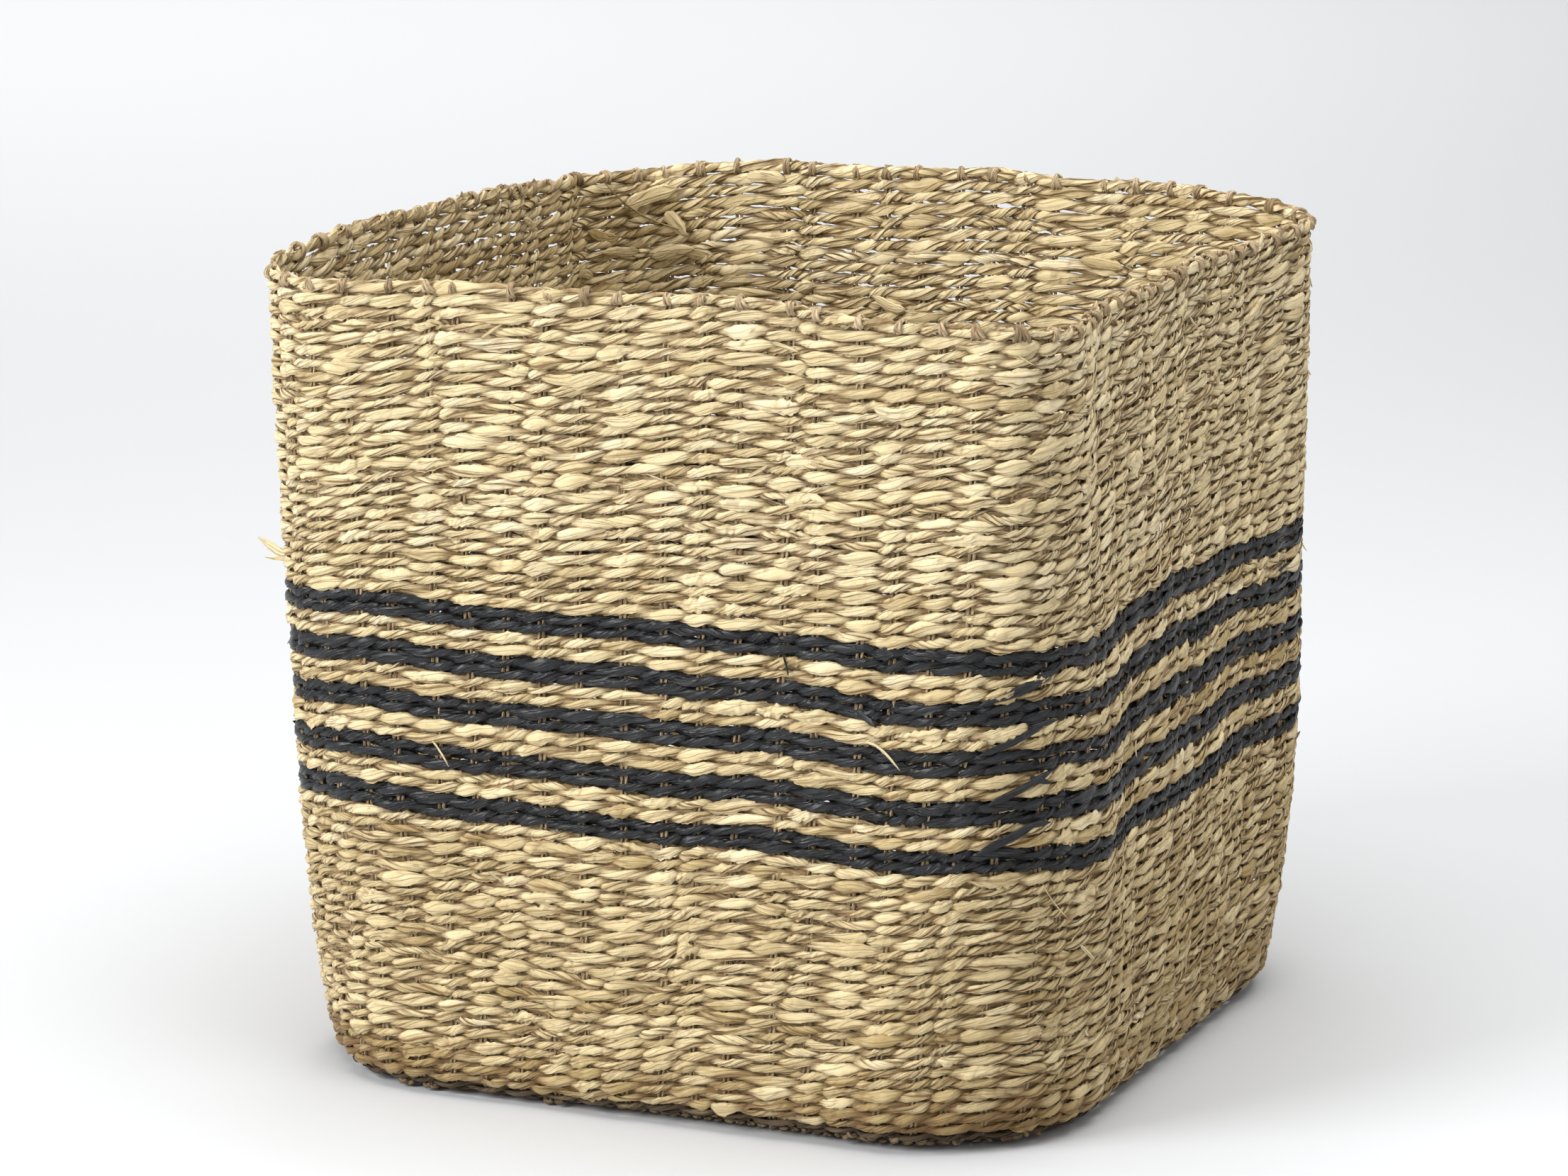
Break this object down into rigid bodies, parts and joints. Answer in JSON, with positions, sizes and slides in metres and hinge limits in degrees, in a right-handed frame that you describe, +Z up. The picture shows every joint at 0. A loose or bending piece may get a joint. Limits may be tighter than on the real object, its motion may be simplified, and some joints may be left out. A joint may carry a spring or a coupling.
{
  "type": "storage basket",
  "caption": "Square open-topped basket of twined seagrass on cord stakes, with a group of black bands round its middle.",
  "frame": {"origin": "centre of the basket's bounding box at the level of the floor it stands on", "axes": "+Z up out of the basket's mouth, -Y out of the front wall, +X out of the right wall"},
  "size_m": [0.4262, 0.4536, 0.4158],
  "materials": {
    "natural_weave": "dry twisted seagrass leaf, straw colour, slightly satin",
    "black_weave": "dyed twisted seagrass leaf, charcoal black, soft sheen",
    "base_weave": "brown twisted seagrass leaf, matt",
    "stake_cord": "thin twisted brown cord, matt"
  },
  "bodies": {
    "root": {"base_inner": "base_weave", "base_under": "base_weave", "black_band_1": "black_weave", "black_band_2": "black_weave", "black_band_3": "black_weave", "black_band_4": "black_weave", "black_band_5": "black_weave", "lower_wall": "natural_weave", "natural_band_1": "natural_weave", "natural_band_2": "natural_weave", "natural_band_3": "natural_weave", "natural_band_4": "natural_weave", "rim_border": "natural_weave", "stake_front_back_01": "stake_cord", "stake_front_back_02": "stake_cord", "stake_front_back_03": "stake_cord", "stake_front_back_04": "stake_cord", "stake_front_back_05": "stake_cord", "stake_front_back_06": "stake_cord", "stake_front_back_07": "stake_cord", "stake_front_back_08": "stake_cord", "stake_front_back_09": "stake_cord", "stake_front_back_10": "stake_cord", "stake_front_back_11": "stake_cord", "stake_front_back_12": "stake_cord", "stake_front_back_13": "stake_cord", "stake_front_back_14": "stake_cord", "stake_front_back_15": "stake_cord", "stake_front_back_16": "stake_cord", "stake_front_back_17": "stake_cord", "stake_front_back_18": "stake_cord", "stake_front_back_19": "stake_cord", "stake_front_back_20": "stake_cord", "stake_left_right_01": "stake_cord", "stake_left_right_02": "stake_cord", "stake_left_right_03": "stake_cord", "stake_left_right_04": "stake_cord", "stake_left_right_05": "stake_cord", "stake_left_right_06": "stake_cord", "stake_left_right_07": "stake_cord", "stake_left_right_08": "stake_cord", "stake_left_right_09": "stake_cord", "stake_left_right_10": "stake_cord", "stake_left_right_11": "stake_cord", "stake_left_right_12": "stake_cord", "stake_left_right_13": "stake_cord", "stake_left_right_14": "stake_cord", "stake_left_right_15": "stake_cord", "stake_left_right_16": "stake_cord", "stake_left_right_17": "stake_cord", "stake_left_right_18": "stake_cord", "stake_left_right_19": "stake_cord", "stake_left_right_20": "stake_cord", "upper_wall": "natural_weave"}
  },
  "joints": []
}
